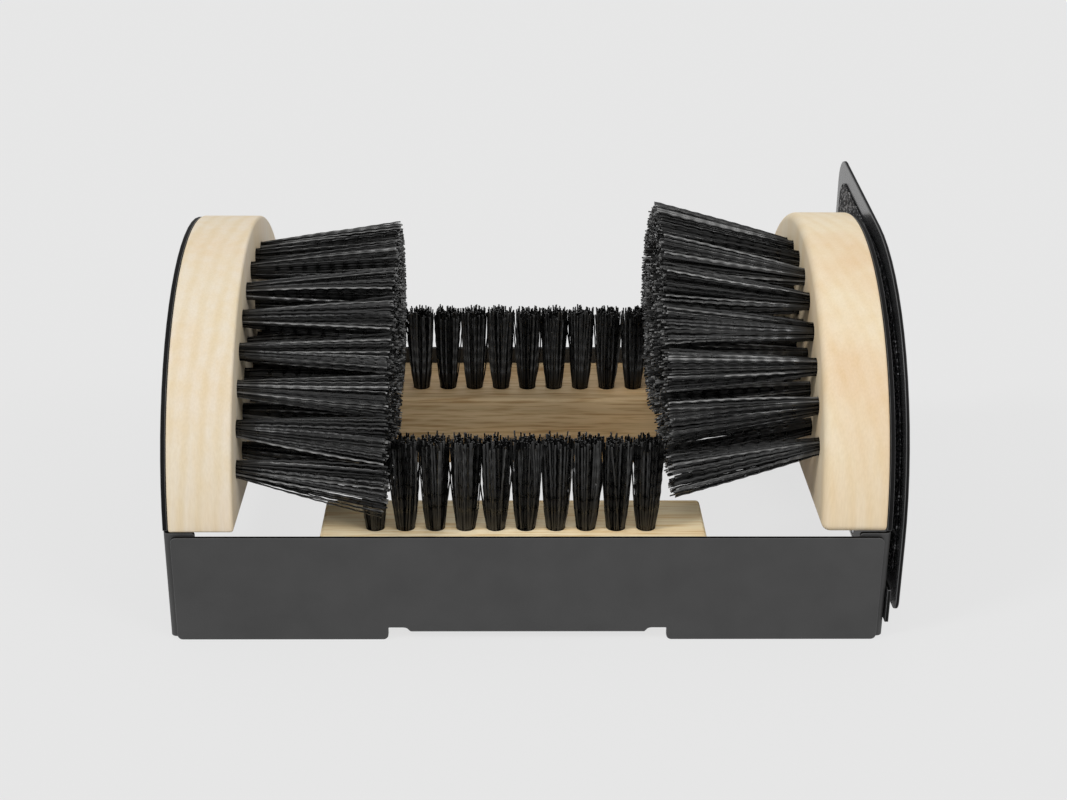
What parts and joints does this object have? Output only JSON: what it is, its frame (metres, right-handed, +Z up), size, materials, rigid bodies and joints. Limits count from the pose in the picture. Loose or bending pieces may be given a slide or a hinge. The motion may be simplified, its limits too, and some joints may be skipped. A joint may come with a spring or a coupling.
{
  "type": "boot and shoe brush",
  "caption": "Floor-standing boot and shoe brush: folded steel frame, wood blocks with bristles on both sides and below, and a fold-down step plate.",
  "frame": {"origin": "on the floor, in the middle of the whole object's width and depth", "axes": "+X to the side with the step plate, +Y to the rear, +Z up"},
  "size_m": [0.287, 0.2, 0.1456],
  "materials": {
    "powder_coat": "fine matt anthracite powder coat",
    "beech": "planed, bare",
    "bristle": "crimped black filament",
    "grit_pad": "coarse anti-slip grit",
    "zinc": "zinc plated"
  },
  "bodies": {
    "frame": {"front_apron": "powder_coat", "rear_apron": "powder_coat", "left_side_plate": "powder_coat", "right_side_plate": "powder_coat", "hinge_leaf": "powder_coat", "left_brush_block": "beech", "right_brush_block": "beech", "front_brush_block": "beech", "rear_brush_block": "beech", "left_bristles": "bristle", "right_bristles": "bristle", "front_bristles": "bristle", "rear_bristles": "bristle", "hinge_pin": "zinc", "hinge_rivet_1": "zinc", "hinge_rivet_2": "zinc", "hinge_rivet_3": "zinc", "hinge_rivet_4": "zinc", "front_brush_screw_1": "zinc", "front_brush_screw_2": "zinc", "rear_brush_screw_1": "zinc", "rear_brush_screw_2": "zinc", "left_brush_screw_1": "zinc", "left_brush_screw_2": "zinc", "left_brush_screw_3": "zinc", "right_brush_screw_1": "zinc", "right_brush_screw_2": "zinc", "right_brush_screw_3": "zinc"},
    "step": {"step_plate": "powder_coat", "step_pad": "grit_pad"}
  },
  "joints": [
    {"name": "step_plate_fold", "type": "hinge", "parent": "frame", "child": "step", "pos_m": [0.141, 0.004, 0.0032], "axis": [0, 1, 0], "range_deg": [0, 90]}
  ]
}
